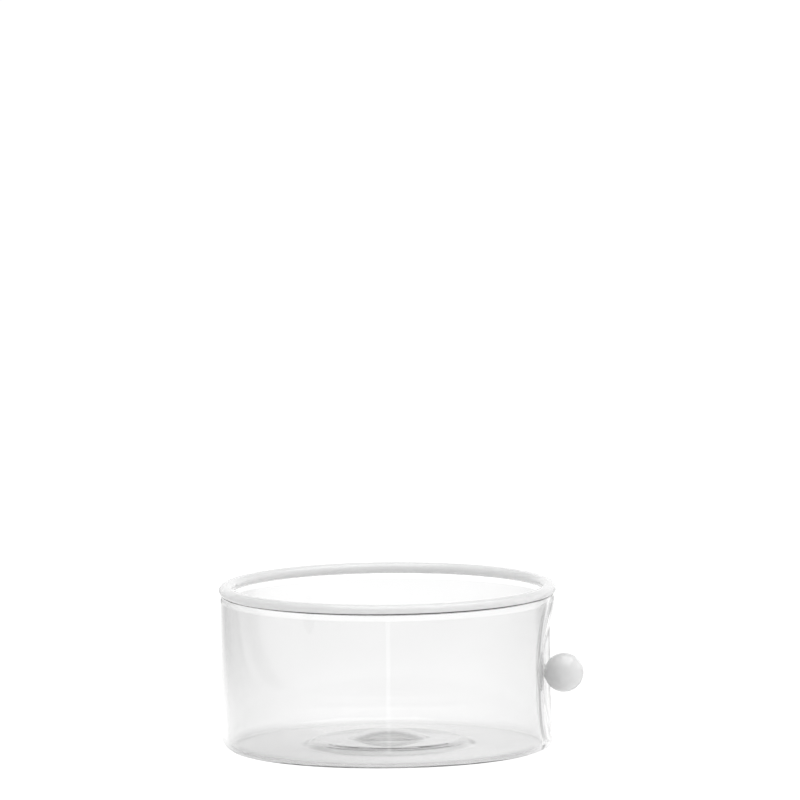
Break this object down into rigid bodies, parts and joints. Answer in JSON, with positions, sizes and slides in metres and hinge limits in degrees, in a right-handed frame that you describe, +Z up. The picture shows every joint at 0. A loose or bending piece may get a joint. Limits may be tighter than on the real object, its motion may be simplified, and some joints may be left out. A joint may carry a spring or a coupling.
{
  "type": "oyster bowl",
  "caption": "Round clear glass serving bowl with straight walls, a white glass bead fused round the rim, and a white glass ball welded into a pressed dimple in its side as a small handle.",
  "frame": {"origin": "on the table plane, under the middle of the object's overall box; the bowl's own axis stands 4.8 mm to the -X side of it, because the ball sticks out on the other side", "axes": "+Z up along the bowl's axis, +X towards the ball, +Y away from the picture's viewpoint, which stands about 4 degrees to the ball's side"},
  "size_m": [0.1296, 0.12, 0.0588],
  "materials": {
    "clear_glass": "clear borosilicate glass, fire polished",
    "white_bead_glass": "white opal glass, fire polished",
    "white_ball_glass": "white opal glass, fire polished"
  },
  "bodies": {
    "root": {"glass_bowl": "clear_glass", "rim_bead": "white_bead_glass", "ball": "white_ball_glass"}
  },
  "joints": []
}
